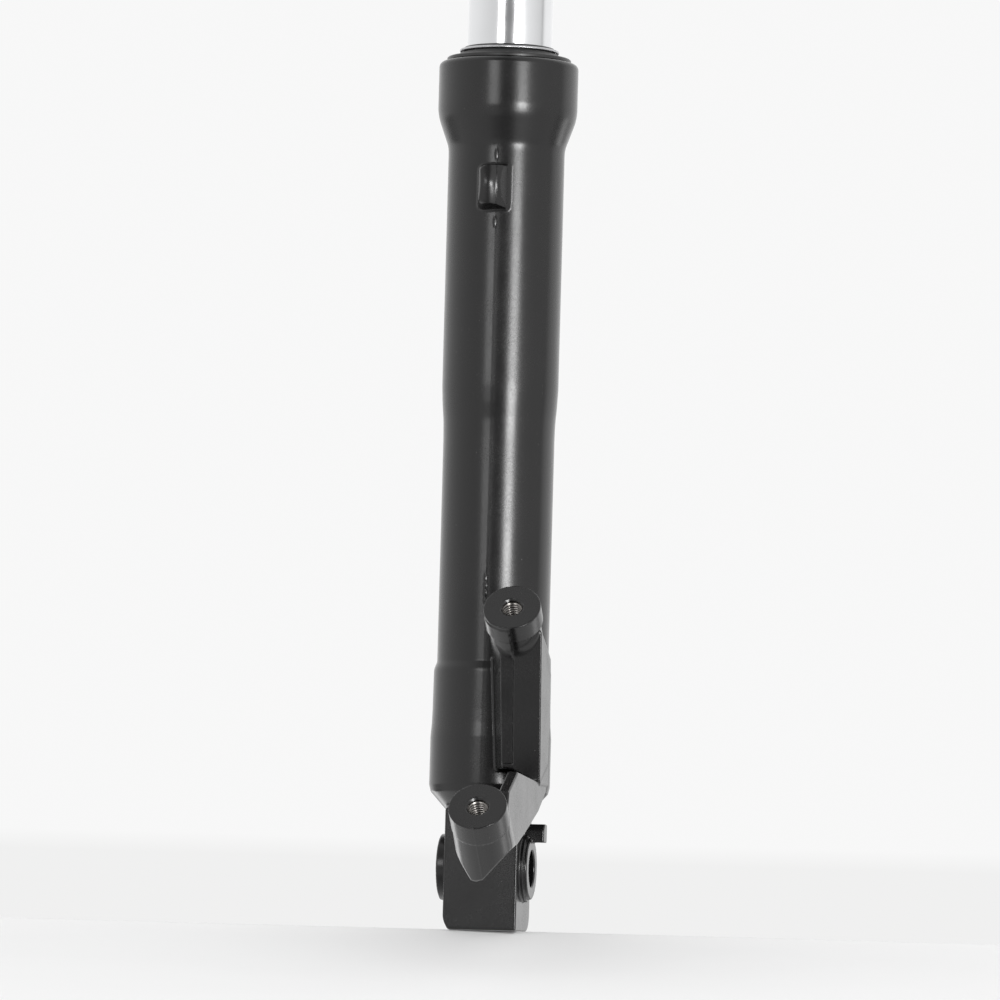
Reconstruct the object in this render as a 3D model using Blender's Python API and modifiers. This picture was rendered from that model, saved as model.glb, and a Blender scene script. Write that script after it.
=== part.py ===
"""Left leg of a telescopic motorcycle fork, 33 mm stanchion, radial caliper mount.

The leg stands upright. X points to the wheel side, Y forwards and Z up. Sizes are in
millimetres and heights are measured from the foot of the slider. One empty carries the
whole leg, so that the world origin lies on the stanchion where the fork yoke clamps it.
"""

from math import cos, pi, radians, sin

import bmesh
import bpy
from mathutils import Vector

MM = 0.001
GAP = 0.3                      # clearance between pieces that touch

# Driving dimensions
CLAMP_HEIGHT = 600.0           # foot to the middle of the yoke clamp: the world origin
TRAVEL = 110.0                 # stroke of the slider before the oil lock closes

TUBE_RADIUS = 16.5             # chromed stanchion, 33 mm
TUBE_BORE = 13.5
TUBE_TOP = 690.0
TUBE_BOTTOM = 172.0

SLIDER_TOP = 337.0
SLIDER_BORE = 18.0
SLIDER_FLOOR = 50.0
BUSHING_SEAT = 18.7
BUSHING_LEDGE = 295.7          # what the fixed bushing rests on
SEAL_SEAT = 23.3
SEAL_LEDGE = 314.5             # bottom of the seal counterbore
CLIP_HEIGHT = 328.95           # groove of the seal clip
BOLT_SEAT = 42.5
BOLT_HOLE = 4.3
ACCESS_HOLE = 8.2

AXLE_HEIGHT = 24.3
AXLE_BORE = 7.5
LUG_HALF_WIDTH = 14.35
LUG_HALF_DEPTH = 15.5
LUG_TOP = 46.8

BOLT_PITCH = 100.0             # between the two caliper bolts
BOSS_RADIUS = 11.0
BOSS_OFFSET = 16.0             # caliper plane, towards the wheel
BOSS_TILT = radians(39.0)      # how far the boss axes point up from straight back
LOWER_FACE = (115.2, 44.9)     # distance behind the leg axis, height
CALIPER_DRILL = 3.4            # M8 tapping drill
SIDE_FACE = 26.8               # wheel side of the caliper bracket

ROD_RADIUS = 7.0
ROD_BOTTOM = SLIDER_FLOOR + GAP
ROD_HEAD_BOTTOM = 222.6
ROD_HEAD_TOP = 240.0

SPRING_MEAN_RADIUS = 10.75
SPRING_WIRE = 1.8
SPRING_TURNS = 19
SPRING_BOTTOM = ROD_HEAD_TOP + GAP
SPRING_TOP = 525.3

SHOULDER_BOTTOM = 196.0        # step inside the foot of the stanchion
SHOULDER_TOP = 200.0
SHOULDER_BORE = 8.5
VALVE_CHAMBER = 12.0
VALVE_RING_SEAT = 187.9        # groove of the snap ring under the check valve

TUBE_STEPS = 40
RING_STEPS = 24
SMALL_STEPS = 20


# Scene and helpers

def clear_scene():
    for old in list(bpy.data.objects):
        bpy.data.objects.remove(old, do_unlink=True)
    for old in list(bpy.data.collections):
        bpy.data.collections.remove(old)


def new_collection(name):
    collection = bpy.data.collections.new(name)
    bpy.context.scene.collection.children.link(collection)
    return collection


def new_frame(name, parent, height=0.0):
    frame = bpy.data.objects.new(name, None)
    frame.empty_display_size = 0.03
    frame.location = (0, 0, height * MM)
    frame.parent = parent
    PARTS.objects.link(frame)
    return frame


def finish_material(name, colour, roughness, metallic):
    material = bpy.data.materials.new(name)
    material.use_nodes = True
    shader = material.node_tree.nodes["Principled BSDF"]
    shader.inputs["Base Color"].default_value = (*colour, 1.0)
    shader.inputs["Roughness"].default_value = roughness
    shader.inputs["Metallic"].default_value = metallic
    material.diffuse_color = (*colour, 1.0)
    return material


def add_object(name, data, frame, material=None):
    """A part when it has a material, otherwise a hidden shape for a Boolean."""
    piece = bpy.data.objects.new(name, data)
    piece.parent = frame
    if material:
        data.materials.append(material)
        PARTS.objects.link(piece)
    else:
        piece.hide_render = True
        piece.display_type = "WIRE"
        CUTTERS.objects.link(piece)
    return piece


def mesh_of(name, points, faces=(), edges=()):
    mesh = bpy.data.meshes.new(name)
    mesh.from_pydata([Vector(p) * MM for p in points], list(edges), list(faces))
    return mesh


def turned(name, profile, frame, material=None, steps=RING_STEPS, closed=False, spin=0.0):
    """Turn a profile of (radius, height) about Z; it runs down its outer side.

    spin is the share of a step by which the facets are turned, so that the corners of a
    cutter stay off the corners of what it cuts.
    """
    count = len(profile)
    edges = [(i, i + 1) for i in range(count - 1)]
    if closed:
        edges.append((count - 1, 0))
    start = 2 * pi * spin / steps
    mesh = mesh_of(name, [(r * cos(start), r * sin(start), z) for r, z in profile], edges=edges)
    piece = add_object(name, mesh, frame, material)
    screw = piece.modifiers.new("Turn", "SCREW")
    screw.steps = steps
    screw.render_steps = steps
    screw.use_merge_vertices = True
    screw.merge_threshold = 0.00001
    return piece


def ring(name, inner, outer, bottom, top, frame, material=None, steps=RING_STEPS):
    profile = [(outer, top), (outer, bottom), (inner, bottom), (inner, top)]
    return turned(name, profile, frame, material, steps, closed=True)


def loft(name, sections, frame):
    """Closed body through rings that have the same number of points."""
    size = len(sections[0])
    points = [p for section in sections for p in section]
    faces = [tuple(range(size - 1, -1, -1))]
    for level in range(len(sections) - 1):
        low = level * size
        for i in range(size):
            j = (i + 1) % size
            faces.append((low + i, low + j, low + size + j, low + size + i))
    faces.append(tuple(range(len(points) - size, len(points))))
    mesh = mesh_of(name, points, faces)
    body = bmesh.new()
    body.from_mesh(mesh)
    bmesh.ops.recalc_face_normals(body, faces=body.faces)
    bmesh.ops.triangulate(body, faces=body.faces)
    body.to_mesh(mesh)
    body.free()
    return add_object(name, mesh, frame)


def side_plate(name, outline, x_from, x_to, frame):
    """Plate across X; its outline is (distance behind the axis, height)."""
    sections = [[(x, -r, z) for r, z in outline] for x in (x_from, x_to)]
    return loft(name, sections, frame)


def combine(piece, others, operation):
    for other in others:
        boolean = piece.modifiers.new(other.name, "BOOLEAN")
        boolean.operation = operation
        boolean.solver = "EXACT"
        boolean.object = other


def smooth(piece, angle=35.0):
    """Shade the round surfaces smooth, after the modifiers that shape them."""
    piece.data.shade_smooth()
    piece.data.set_sharp_from_angle(angle=radians(angle))


def coil(name, radius, wire, bottom, top, turns, frame, material, ends=1.0, steps=10):
    """Compression spring whose end turns lie flat, as an open wire with capped ends."""
    low = bottom + wire
    high = top - wire
    flat = 2.0 * wire + GAP
    middle = turns - 2 * ends
    rise = high - low - 2 * ends * flat
    curve = bpy.data.curves.new(name, "CURVE")
    curve.dimensions = "3D"
    curve.bevel_depth = wire * MM
    curve.bevel_resolution = 2
    curve.use_fill_caps = True
    spline = curve.splines.new("POLY")
    count = round(turns * steps) + 1
    spline.points.add(count - 1)
    for i, point in enumerate(spline.points):
        turn = i / steps
        height = low + flat * min(turn, ends)
        height += rise * min(max(turn - ends, 0.0), middle) / middle
        height += flat * max(turn - ends - middle, 0.0)
        angle = 2 * pi * turn
        place = Vector((radius * cos(angle), radius * sin(angle), height)) * MM
        point.co = (*place, 1.0)
    return add_object(name, curve, frame, material)


def torus(name, radius, wire, height, frame, material, around=RING_STEPS, section=6):
    profile = []
    for i in range(section):
        angle = -2 * pi * (i + 0.5) / section
        profile.append((radius + wire * cos(angle), height + wire * sin(angle)))
    return turned(name, profile, frame, material, around, closed=True)


def hexagon(name, across, bottom, top, frame):
    corner = across / 2 / cos(pi / 6)
    angles = [pi / 3 * i for i in range(6)]
    sections = [[(corner * cos(a), corner * sin(a), z) for a in angles] for z in (bottom, top)]
    return loft(name, sections, frame)


# Lower leg: the slider and what travels with it

def slider_casting(frame, material):
    """Outer surface of the tube as a solid; the bore is cut last."""
    profile = [
        (0.0, SLIDER_TOP), (24.6, SLIDER_TOP), (26.3, 336.2), (27.05, 334.4),
        (27.05, 320.0), (26.45, 315.0), (24.85, 310.2), (23.1, 305.2), (22.55, 301.5),
        (22.55, 211.0), (22.2, 203.0), (21.7, 197.0), (21.55, 190.0),
        (21.55, 104.6), (22.5, 100.8), (22.75, 97.0), (22.75, 81.5), (23.35, 74.5), (23.35, 57.0),
        (22.9, 54.0), (16.9, 46.7), (14.0, 43.8), (0.0, 43.8),
    ]
    return turned("slider", profile, frame, material, TUBE_STEPS)


def axle_lug(frame):
    """Block at the foot, its front lower corner rounded."""
    corner = 7.0
    depth = LUG_HALF_DEPTH
    outline = [(depth, 0.0), (depth, LUG_TOP), (-depth, LUG_TOP)]
    for i in range(5):
        angle = pi + pi / 2 * i / 4
        outline.append((corner - depth + corner * cos(angle), corner + corner * sin(angle)))
    lug = side_plate("axle_lug", outline, -LUG_HALF_WIDTH, LUG_HALF_WIDTH, frame)
    combine(lug, [lug_bevel(frame)], "DIFFERENCE")
    return lug


def axle_flange(name, side, steps_out, frame):
    """Round face for the hub or the axle head; steps_out lists (radius, reach)."""
    profile = [(0.0, steps_out[-1][1])]
    for radius, reach in reversed(steps_out):
        profile += [(radius - 0.5, reach), (radius, reach - 0.5)]
    profile += [(steps_out[0][0], 10.0), (0.0, 10.0)]
    flange = turned(name, profile, frame, steps=RING_STEPS)
    flange.location = (0, 0, AXLE_HEIGHT * MM)
    flange.rotation_euler = (0, side * pi / 2, 0)
    return flange


def sensor_tab(frame):
    """Stop on the wheel side that keeps the speed sensor housing from turning."""
    outline = [(-3.5, 34.5), (3.5, 34.5), (3.5, 41.6), (-3.5, 41.6)]
    return side_plate("sensor_tab", outline, 12.0, 22.4, frame)


def hose_boss(frame):
    """Oblong stud for the brake hose clip, turned a little away from the wheel."""
    turn = radians(15.0)
    aside = 5.9
    middle = 287.0
    back = Vector((-sin(turn), -cos(turn), 0.0))
    across = Vector((cos(turn), -sin(turn), 0.0))
    quarter = [(1.0, 0.7), (0.6, 1.0)]
    half = quarter + [(-u, w) for u, w in reversed(quarter)]
    corners = half + [(-u, -w) for u, w in half]
    sections = []
    for reach, half_width, half_height in ((19.5, 4.9, 10.2), (27.6, 4.4, 8.9), (29.3, 3.6, 8.0)):
        centre = back * reach + across * aside + Vector((0, 0, middle))
        sections.append([centre + across * half_width * u + Vector((0, 0, half_height * w))
                         for u, w in corners])
    return loft("hose_boss", sections, frame)


def place_on_boss(piece, face):
    """Put a shape whose +Z leaves the caliper face onto that face."""
    behind, height = face
    piece.location = Vector((BOSS_OFFSET, -behind, height)) * MM
    piece.rotation_euler = (pi / 2 - BOSS_TILT, 0, 0)
    return piece


def upper_face():
    behind, height = LOWER_FACE
    return behind - BOLT_PITCH * sin(BOSS_TILT), height + BOLT_PITCH * cos(BOSS_TILT)


def upper_boss(frame):
    """Machined end, then a slimmer body that runs out along the side of the tube."""
    profile = [
        (0.0, 0.0), (BOSS_RADIUS - 0.4, 0.0), (BOSS_RADIUS, -0.4), (BOSS_RADIUS, -8.0),
        (9.9, -9.2), (9.8, -38.0), (8.0, -46.0), (0.0, -50.0),
    ]
    return place_on_boss(turned("upper_boss", profile, frame, steps=RING_STEPS), upper_face())


def lower_boss(frame):
    """Machined end and a long body, cut to a blunt keel underneath."""
    profile = [
        (0.0, 0.0), (BOSS_RADIUS - 0.4, 0.0), (BOSS_RADIUS, -0.4), (BOSS_RADIUS, -10.0),
        (10.5, -11.5), (10.8, -34.0), (0.0, -34.0),
    ]
    body = place_on_boss(turned("lower_boss", profile, frame, steps=RING_STEPS), LOWER_FACE)
    keel = [(-2.0, 60.0), (-2.0, 40.0), (4.6, 29.5), (11.0, 17.6), (15.8, 16.6), (26.8, 29.0),
            (34.0, 40.0), (34.0, 60.0)]
    sections = [[(x, y, z) for x, z in keel] for y in (-50.0, -130.0)]
    combine(body, [loft("lower_boss_keel", sections, frame)], "INTERSECT")
    return body


def caliper_web(frame):
    """Rib between the bosses; its rear face has a crease along the die parting."""
    foot = [
        (18.5, -9.0, 54.0), (21.2, -8.0, 54.0), (SIDE_FACE, -24.0, 54.0), (SIDE_FACE, -40.8, 55.8),
        (16.3, -42.3, 61.2), (12.2, -41.4, 61.6), (6.5, -22.2, 62.0), (7.0, -18.6, 62.0),
    ]
    head = [
        (18.5, -9.0, 92.0), (21.2, -8.0, 92.0), (SIDE_FACE, -24.0, 93.0), (SIDE_FACE, -45.7, 109.0),
        (16.0, -47.2, 111.0), (10.9, -46.3, 111.0), (3.7, -22.3, 111.0), (4.2, -19.0, 111.0),
    ]
    return loft("caliper_web", [foot, head], frame)


def caliper_arm(frame):
    """Plate on the wheel side that carries the lower boss, with a thicker root.

    The plate's outline is (distance behind the axis, height), and the root's stations are
    (distance behind the axis, wheel side, underside, top).
    """
    plate = [
        (24.0, 53.4), (40.2, 45.3), (64.0, 37.7), (85.3, 31.5), (99.0, 29.7), (107.0, 36.0),
        (109.0, 44.0), (107.0, 50.6), (88.0, 58.8), (41.0, 56.6), (24.0, 64.0),
    ]
    stations = [
        (8.0, 17.0, 43.0, 52.0), (35.0, 23.5, 43.5, 51.0),
        (64.0, 23.5, 38.5, 48.5), (98.0, 23.5, 31.0, 43.0),
    ]
    inner = 8.0
    root = []
    for behind, side, low, high in stations:
        root.append([(inner, -behind, low), (side, -behind, low), (side, -behind, high),
                     (inner, -behind, high)])
    return [
        side_plate("caliper_arm_plate", plate, 22.2, SIDE_FACE - 0.4, frame),
        loft("caliper_arm_root", root, frame),
    ]


def slider_bore(frame):
    """Everything turned inside the slider, from the seal seat down to the bolt access."""
    groove = 24.5
    groove_top = CLIP_HEIGHT + 1.35
    groove_bottom = CLIP_HEIGHT - 1.35
    profile = [
        (0.0, SLIDER_TOP + 5.0), (SEAL_SEAT, SLIDER_TOP + 5.0), (SEAL_SEAT, groove_top),
        (groove, groove_top), (groove, groove_bottom), (SEAL_SEAT, groove_bottom),
        (SEAL_SEAT, SEAL_LEDGE), (BUSHING_SEAT, SEAL_LEDGE),
        (BUSHING_SEAT, BUSHING_LEDGE), (SLIDER_BORE, BUSHING_LEDGE), (SLIDER_BORE, SLIDER_FLOOR),
        (BOLT_HOLE, SLIDER_FLOOR), (BOLT_HOLE, BOLT_SEAT), (ACCESS_HOLE, BOLT_SEAT),
        (ACCESS_HOLE, -2.0), (0.0, -2.0),
    ]
    return turned("slider_bore", profile, frame, steps=TUBE_STEPS, spin=0.5)


def axle_bore(frame):
    reach = 30.0
    profile = [(0.0, reach), (AXLE_BORE, reach), (AXLE_BORE, -reach), (0.0, -reach)]
    bore = turned("axle_bore", profile, frame, steps=RING_STEPS, spin=0.4)
    bore.location = (0, 0, AXLE_HEIGHT * MM)
    bore.rotation_euler = (0, pi / 2, 0)
    return bore


def lug_bevel(frame):
    """Sloping corner under the outer side of the foot."""
    outline = [(-12.35, 0.0), (-11.8, -1.0), (-16.0, -1.0), (-16.0, 7.1)]
    sections = [[(x, y, z) for x, z in outline] for y in (30.0, -30.0)]
    return loft("lug_bevel", sections, frame)


def caliper_thread(name, face, frame):
    depth = 20.0
    mouth = 4.5
    profile = [(0.0, 1.0), (mouth + 1.0, 1.0), (CALIPER_DRILL, CALIPER_DRILL - mouth),
               (CALIPER_DRILL, -depth), (0.0, -depth - 2.0)]
    return place_on_boss(turned(name, profile, frame, steps=SMALL_STEPS, spin=0.3), face)


def build_slider(frame, material):
    slider = slider_casting(frame, material)
    added = [
        axle_lug(frame),
        axle_flange("wheel_flange", 1, [(12.9, 16.2), (11.9, 17.5)], frame),
        axle_flange("outer_flange", -1, [(12.8, 18.0)], frame),
        sensor_tab(frame), caliper_web(frame), *caliper_arm(frame),
        upper_boss(frame), lower_boss(frame), hose_boss(frame),
    ]
    combine(slider, added, "UNION")
    removed = [
        slider_bore(frame), axle_bore(frame),
        caliper_thread("upper_thread", upper_face(), frame),
        caliper_thread("lower_thread", LOWER_FACE, frame),
    ]
    combine(slider, removed, "DIFFERENCE")
    smooth(slider)
    return slider


def build_seals(frame, metal, rubber, bronze):
    """Bushing, backup ring, oil seal, its wire clip and the dust seal, bottom to top."""
    near_tube = TUBE_RADIUS + GAP
    in_seat = SEAL_SEAT - GAP
    ring("slider_bushing", near_tube, BUSHING_SEAT - GAP, BUSHING_LEDGE + GAP, SEAL_LEDGE - GAP,
         frame, bronze, TUBE_STEPS)
    ring("backup_ring", near_tube + 0.2, in_seat, SEAL_LEDGE + GAP, 316.2, frame, metal, TUBE_STEPS)
    oil_seal = [
        (in_seat, 327.2), (in_seat, 316.5), (18.6, 316.5), (near_tube, 318.6), (17.6, 321.0),
        (20.2, 322.6), (20.2, 324.2), (17.4, 325.6), (near_tube, 327.2),
    ]
    turned("oil_seal", oil_seal, frame, rubber, TUBE_STEPS, closed=True)
    torus("oil_seal_spring", 19.0, 0.6, 323.3, frame, metal)
    seal_clip("seal_clip", frame, metal)
    dust_seal = [
        (17.0, 342.9), (17.5, 342.7), (17.8, 341.7), (17.8, 340.6), (19.3, 340.6), (20.4, 339.1),
        (23.7, 338.8), (24.1, 338.4), (24.1, SLIDER_TOP + GAP), (in_seat, SLIDER_TOP + GAP),
        (in_seat, 331.0), (20.6, 331.0), (20.6, 336.0), (near_tube, 338.5), (near_tube, 342.9),
    ]
    turned("dust_seal", dust_seal, frame, rubber, TUBE_STEPS, closed=True)
    torus("dust_seal_spring", 18.75, 0.6, 341.55, frame, metal)


def seal_clip(name, frame, material):
    """Open wire ring that snaps into the groove above the oil seal."""
    curve = bpy.data.curves.new(name, "CURVE")
    curve.dimensions = "3D"
    curve.bevel_depth = 0.9 * MM
    curve.bevel_resolution = 1
    curve.use_fill_caps = True
    spline = curve.splines.new("POLY")
    count = 30
    radius = 23.1
    opening = 30.0
    spline.points.add(count - 1)
    for i, point in enumerate(spline.points):
        angle = radians(opening / 2 + (360.0 - opening) * i / (count - 1))
        place = Vector((radius * cos(angle), radius * sin(angle), CLIP_HEIGHT)) * MM
        point.co = (*place, 1.0)
    return add_object(name, curve, frame, material)


def build_damper(frame, metal, nylon):
    """Rod bolted to the slider floor, its head, ring, top-out spring and oil lock."""
    head = TUBE_BORE - 0.6
    groove = 11.7
    profile = [
        (head, ROD_HEAD_TOP), (head, 234.0), (groove, 234.0), (groove, 230.0), (head, 230.0),
        (head, ROD_HEAD_BOTTOM), (ROD_RADIUS, ROD_HEAD_BOTTOM), (ROD_RADIUS, ROD_BOTTOM),
        (BOLT_HOLE, ROD_BOTTOM), (BOLT_HOLE, 70.0), (5.0, 72.0), (5.0, ROD_HEAD_TOP),
    ]
    rod = turned("damper_rod", profile, frame, metal, SMALL_STEPS, closed=True)
    ports = []
    drill = [(0.0, 12.0), (2.0, 12.0), (2.0, -12.0), (0.0, -12.0)]
    for i, height in enumerate((96.0, 108.0)):
        port = turned(f"damper_port_{i + 1}", drill, frame, steps=8)
        port.location = (0, 0, height * MM)
        port.rotation_euler = (0, pi / 2, i * pi / 2)
        ports.append(port)
    combine(rod, ports, "DIFFERENCE")
    smooth(rod)
    ring("piston_ring", groove + GAP, TUBE_BORE - GAP, 230.3, 233.7, frame, nylon, RING_STEPS)
    coil("top_out_spring", 9.8, 1.1, SHOULDER_TOP + GAP, ROD_HEAD_BOTTOM - GAP, 5, frame, metal)
    lock_top = VALVE_RING_SEAT - TRAVEL - 2.9
    near_rod = ROD_RADIUS + GAP
    oil_lock = [(10.6, lock_top), (11.5, lock_top - 13.0), (11.5, ROD_BOTTOM),
                (near_rod, ROD_BOTTOM), (near_rod, lock_top)]
    turned("oil_lock_piece", oil_lock, frame, metal, SMALL_STEPS, closed=True)


def build_bottom_bolt(frame, metal, copper):
    """Socket screw that comes up through the foot and holds the damper rod."""
    head_top = BOLT_SEAT - 1.6
    head_bottom = head_top - 8.0
    profile = [
        (0.0, 62.0), (3.3, 62.0), (4.0, 61.0), (4.0, head_top), (6.2, head_top), (6.5, head_top - 0.4),
        (6.5, head_bottom + 0.4), (6.1, head_bottom), (0.0, head_bottom),
    ]
    bolt = turned("bottom_bolt", profile, frame, metal, SMALL_STEPS)
    socket = hexagon("bottom_bolt_socket", 6.0, head_bottom - 1.0, head_bottom + 4.5, frame)
    combine(bolt, [socket], "DIFFERENCE")
    smooth(bolt)
    ring("sealing_washer", 4.3, 7.6, head_top + GAP, BOLT_SEAT - GAP, frame, copper, SMALL_STEPS)


# Upper tube: the stanchion and what is fixed in it

def build_stanchion(frame, chrome):
    bushing_groove = 15.6
    profile = [
        (15.9, TUBE_TOP), (TUBE_RADIUS, TUBE_TOP - 0.8), (TUBE_RADIUS, 189.4),
        (bushing_groove, 189.4), (bushing_groove, 173.7), (TUBE_RADIUS - 0.3, 173.7),
        (15.8, TUBE_BOTTOM), (VALVE_CHAMBER, TUBE_BOTTOM),
        (VALVE_CHAMBER, VALVE_RING_SEAT), (12.8, VALVE_RING_SEAT), (12.8, VALVE_RING_SEAT + 1.9),
        (VALVE_CHAMBER, VALVE_RING_SEAT + 1.9), (VALVE_CHAMBER, SHOULDER_BOTTOM),
        (SHOULDER_BORE, SHOULDER_BOTTOM), (SHOULDER_BORE, SHOULDER_TOP),
        (TUBE_BORE, SHOULDER_TOP), (TUBE_BORE, TUBE_TOP),
    ]
    tube = turned("stanchion", profile, frame, chrome, TUBE_STEPS, closed=True)
    smooth(tube)
    return tube


def build_top_cap(frame, metal, rubber):
    """Plug with an O-ring, a flange and a hexagon for the spanner."""
    plug = TUBE_BORE - GAP
    groove = 11.3
    profile = [
        (0.0, 693.0), (15.6, 693.0), (16.3, 692.3), (16.3, TUBE_TOP + GAP), (plug, TUBE_TOP + GAP),
        (plug, 686.0), (groove, 686.0), (groove, 683.6), (plug, 683.6), (plug, 672.8), (12.4, 672.0),
        (0.0, 672.0),
    ]
    cap = turned("top_cap", profile, frame, metal, TUBE_STEPS)
    combine(cap, [hexagon("top_cap_hexagon", 22.0, 688.0, 699.0, frame)], "UNION")
    smooth(cap)
    torus("top_cap_oring", 12.4, 0.8, 684.8, frame, rubber)
    ring("spacer_tube", 9.0, 12.5, 528.0, 672.0 - GAP, frame, metal, SMALL_STEPS)


def build_stanchion_foot(frame, bronze, metal):
    """Sliding bush outside the foot of the tube and the snap ring inside it."""
    ring("stanchion_bushing", 15.9, SLIDER_BORE - GAP, 174.0, 189.1, frame, bronze, TUBE_STEPS)
    ring("valve_snap_ring", 9.5, 12.5, VALVE_RING_SEAT + GAP, VALVE_RING_SEAT + 1.6, frame, metal)


# Spring pack and check valve

def build_spring_pack(frame, metal):
    coil("main_spring", SPRING_MEAN_RADIUS, SPRING_WIRE, SPRING_BOTTOM, SPRING_TOP, SPRING_TURNS,
         frame, metal)
    ring("spring_washer", 8.6, 12.8, SPRING_TOP + GAP, 527.6, frame, metal, SMALL_STEPS)


def build_check_valve(frame, metal):
    """Loose ring round the rod, above the snap ring and 1 mm clear of the step at its limit."""
    ring("check_valve", ROD_RADIUS + 0.5, VALVE_CHAMBER - GAP, VALVE_RING_SEAT + 2.0,
         SHOULDER_BOTTOM - 1.3, frame, metal, SMALL_STEPS)


clear_scene()
PARTS = new_collection("suspension_fork")
CUTTERS = new_collection("cutters")

BLACK_PAINT = finish_material("black_paint", (0.035, 0.035, 0.037), 0.38, 0.0)
CHROME = finish_material("chrome", (0.62, 0.62, 0.63), 0.08, 1.0)
STEEL = finish_material("steel", (0.46, 0.46, 0.47), 0.3, 1.0)
SPRING_STEEL = finish_material("spring_steel", (0.2, 0.2, 0.22), 0.35, 1.0)
ALUMINIUM = finish_material("aluminium", (0.6, 0.61, 0.62), 0.35, 1.0)
RUBBER = finish_material("rubber", (0.02, 0.02, 0.02), 0.6, 0.0)
BRONZE = finish_material("bronze", (0.45, 0.3, 0.14), 0.4, 1.0)
COPPER = finish_material("copper", (0.6, 0.26, 0.15), 0.35, 1.0)
NYLON = finish_material("nylon", (0.72, 0.7, 0.62), 0.5, 0.0)

foot = new_frame("fork_foot", None, -CLAMP_HEIGHT)
upper_tube = new_frame("upper_tube_frame", foot)
spring_pack = new_frame("spring_pack_frame", upper_tube)
lower_leg = new_frame("lower_leg_frame", spring_pack)
valve = new_frame("check_valve_frame", upper_tube)

build_slider(lower_leg, BLACK_PAINT)
build_seals(lower_leg, STEEL, RUBBER, BRONZE)
build_damper(lower_leg, ALUMINIUM, NYLON)
build_bottom_bolt(lower_leg, STEEL, COPPER)
build_stanchion(upper_tube, CHROME)
build_stanchion_foot(upper_tube, BRONZE, STEEL)
build_top_cap(upper_tube, ALUMINIUM, RUBBER)
build_spring_pack(spring_pack, SPRING_STEEL)
build_check_valve(valve, STEEL)
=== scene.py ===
"""Looks of the fork leg: fine meshes, materials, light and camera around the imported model.

Shapes are worked out in millimetres, with heights measured from the foot of the slider as in
the CAD source, and become metres in the shared frame when a mesh is made. The slider casting
is a distance field, so its ribs, bosses and lug run into the tube with real fillets. It is
meshed once and its vertices are then moved onto the exact surface.
"""

from math import cos, pi, radians, sin, tau

import bmesh
import bpy
import numpy as np
from mathutils import Matrix, Vector


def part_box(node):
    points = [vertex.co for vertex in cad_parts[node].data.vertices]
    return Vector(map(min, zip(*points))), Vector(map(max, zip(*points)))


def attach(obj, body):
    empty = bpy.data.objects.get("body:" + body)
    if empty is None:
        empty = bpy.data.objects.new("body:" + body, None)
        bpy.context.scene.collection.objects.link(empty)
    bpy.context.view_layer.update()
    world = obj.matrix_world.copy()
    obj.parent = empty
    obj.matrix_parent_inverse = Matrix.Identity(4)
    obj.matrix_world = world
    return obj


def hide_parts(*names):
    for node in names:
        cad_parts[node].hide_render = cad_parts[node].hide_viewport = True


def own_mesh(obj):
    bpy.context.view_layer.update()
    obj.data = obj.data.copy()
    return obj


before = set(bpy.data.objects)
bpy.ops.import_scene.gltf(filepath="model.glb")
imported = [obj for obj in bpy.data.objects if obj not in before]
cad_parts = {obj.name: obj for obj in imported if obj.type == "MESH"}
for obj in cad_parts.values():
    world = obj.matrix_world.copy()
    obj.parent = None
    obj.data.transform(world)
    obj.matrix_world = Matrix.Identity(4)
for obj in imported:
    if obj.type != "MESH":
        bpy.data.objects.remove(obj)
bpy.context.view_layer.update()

MM = 0.001
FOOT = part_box("slider")[0].z                     # world height of the foot

# Sizes in millimetres, as the CAD source has them
TUBE_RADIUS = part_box("stanchion")[1].x / MM
TUBE_BORE = 13.5
TUBE_BOTTOM = (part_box("stanchion")[0].z - FOOT) / MM
TUBE_TOP = (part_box("stanchion")[1].z - FOOT) / MM
SLIDER_TOP = (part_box("slider")[1].z - FOOT) / MM
SLIDER_FLOOR = 50.0
SEAL_SEAT = 23.3
SEAL_LEDGE = 314.5
CLIP_HEIGHT = 328.95
BOLT_SEAT = 42.5
AXLE_HEIGHT = 24.3
AXLE_BORE = 7.5
LUG_HALF_WIDTH = 14.35
LUG_HALF_DEPTH = 15.5
LUG_TOP = 46.8
SIDE_FACE = 26.8                                 # wheel side of the caliper bracket
BOSS_RADIUS = 11.0
BOSS_OFFSET = 16.0
BOSS_TILT = radians(39.0)
LOWER_FACE = (115.2, 44.9)                       # distance behind the axis, height
UPPER_FACE = (LOWER_FACE[0] - 100.0 * sin(BOSS_TILT), LOWER_FACE[1] + 100.0 * cos(BOSS_TILT))
THREAD_MAJOR = 4.0                               # M8 x 1.25
THREAD_MINOR = 3.35
THREAD_PITCH = 1.25


# Meshes

def add_mesh(name, points, faces, material):
    """A piece from points in millimetres above the foot."""
    points = np.asarray(points, float) * MM
    points[:, 2] += FOOT
    mesh = bpy.data.meshes.new(name)
    mesh.from_pydata(points.tolist(), [], faces)
    return add_piece(name, mesh, material)


def add_piece(name, mesh, material):
    piece = bpy.data.objects.new(name, mesh)
    bpy.context.scene.collection.objects.link(piece)
    if material:
        mesh.materials.append(material)
    return piece


def tidy_normals(piece, angle=38.0):
    body = bmesh.new()
    body.from_mesh(piece.data)
    bmesh.ops.remove_doubles(body, verts=body.verts, dist=0.000001)
    bmesh.ops.recalc_face_normals(body, faces=body.faces)
    body.to_mesh(piece.data)
    body.free()
    piece.data.shade_smooth()
    piece.data.set_sharp_from_angle(angle=radians(angle))


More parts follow.
